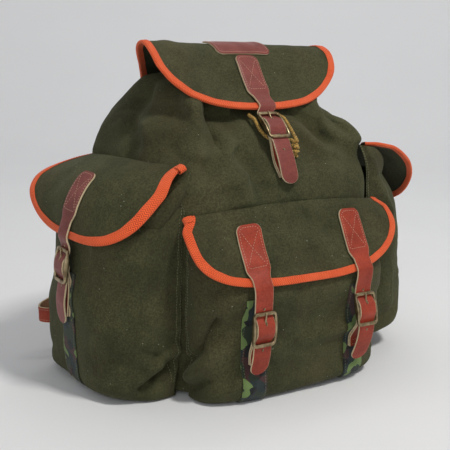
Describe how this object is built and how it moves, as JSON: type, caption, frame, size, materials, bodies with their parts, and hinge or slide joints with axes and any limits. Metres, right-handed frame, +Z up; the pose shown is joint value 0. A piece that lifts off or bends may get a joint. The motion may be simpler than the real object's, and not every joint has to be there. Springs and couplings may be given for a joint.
{
  "type": "canvas rucksack",
  "caption": "Upright drawcord canvas rucksack with front and side pockets, flaps bound in bright tape, leather closing straps with buckles, and leather shoulder straps.",
  "frame": {"origin": "middle of the flat base of the main bag, on the floor", "axes": "+Z up, -Y towards the front pocket, +X towards the side pocket on the viewer's right; X = 0 is the middle plane of the bag"},
  "size_m": [0.5359, 0.3526, 0.4289],
  "materials": {
    "canvas": "dark olive waxed canvas, matt",
    "binding": "orange folded cotton tape",
    "leather": "red-brown bridle leather with paler cut edges",
    "brass": "antique brass, lightly worn",
    "webbing": "woven camouflage webbing",
    "cord": "braided yellow cord"
  },
  "bodies": {
    "root": {"back_yoke": "leather", "carrying_loop": "leather", "drawcord": "cord", "drawcord_end": "cord", "drawcord_knot": "cord", "front_binding": "binding", "front_flap": "canvas", "front_left_billet": "leather", "front_left_buckle": "brass", "front_left_prong": "brass", "front_left_strap": "leather", "front_left_webbing": "webbing", "front_pocket": "canvas", "front_right_billet": "leather", "front_right_buckle": "brass", "front_right_prong": "brass", "front_right_strap": "leather", "front_right_webbing": "webbing", "left_billet": "leather", "left_binding": "binding", "left_buckle": "brass", "left_flap": "canvas", "left_lower_strap": "leather", "left_pocket": "canvas", "left_prong": "brass", "left_shoulder_strap": "leather", "left_strap": "leather", "left_webbing": "webbing", "main_billet": "leather", "main_binding": "binding", "main_buckle": "brass", "main_flap": "canvas", "main_prong": "brass", "main_strap": "leather", "right_billet": "leather", "right_binding": "binding", "right_buckle": "brass", "right_flap": "canvas", "right_lower_strap": "leather", "right_pocket": "canvas", "right_prong": "brass", "right_shoulder_strap": "leather", "right_strap": "leather", "right_webbing": "webbing", "sack": "canvas", "top_patch": "leather"}
  },
  "joints": []
}
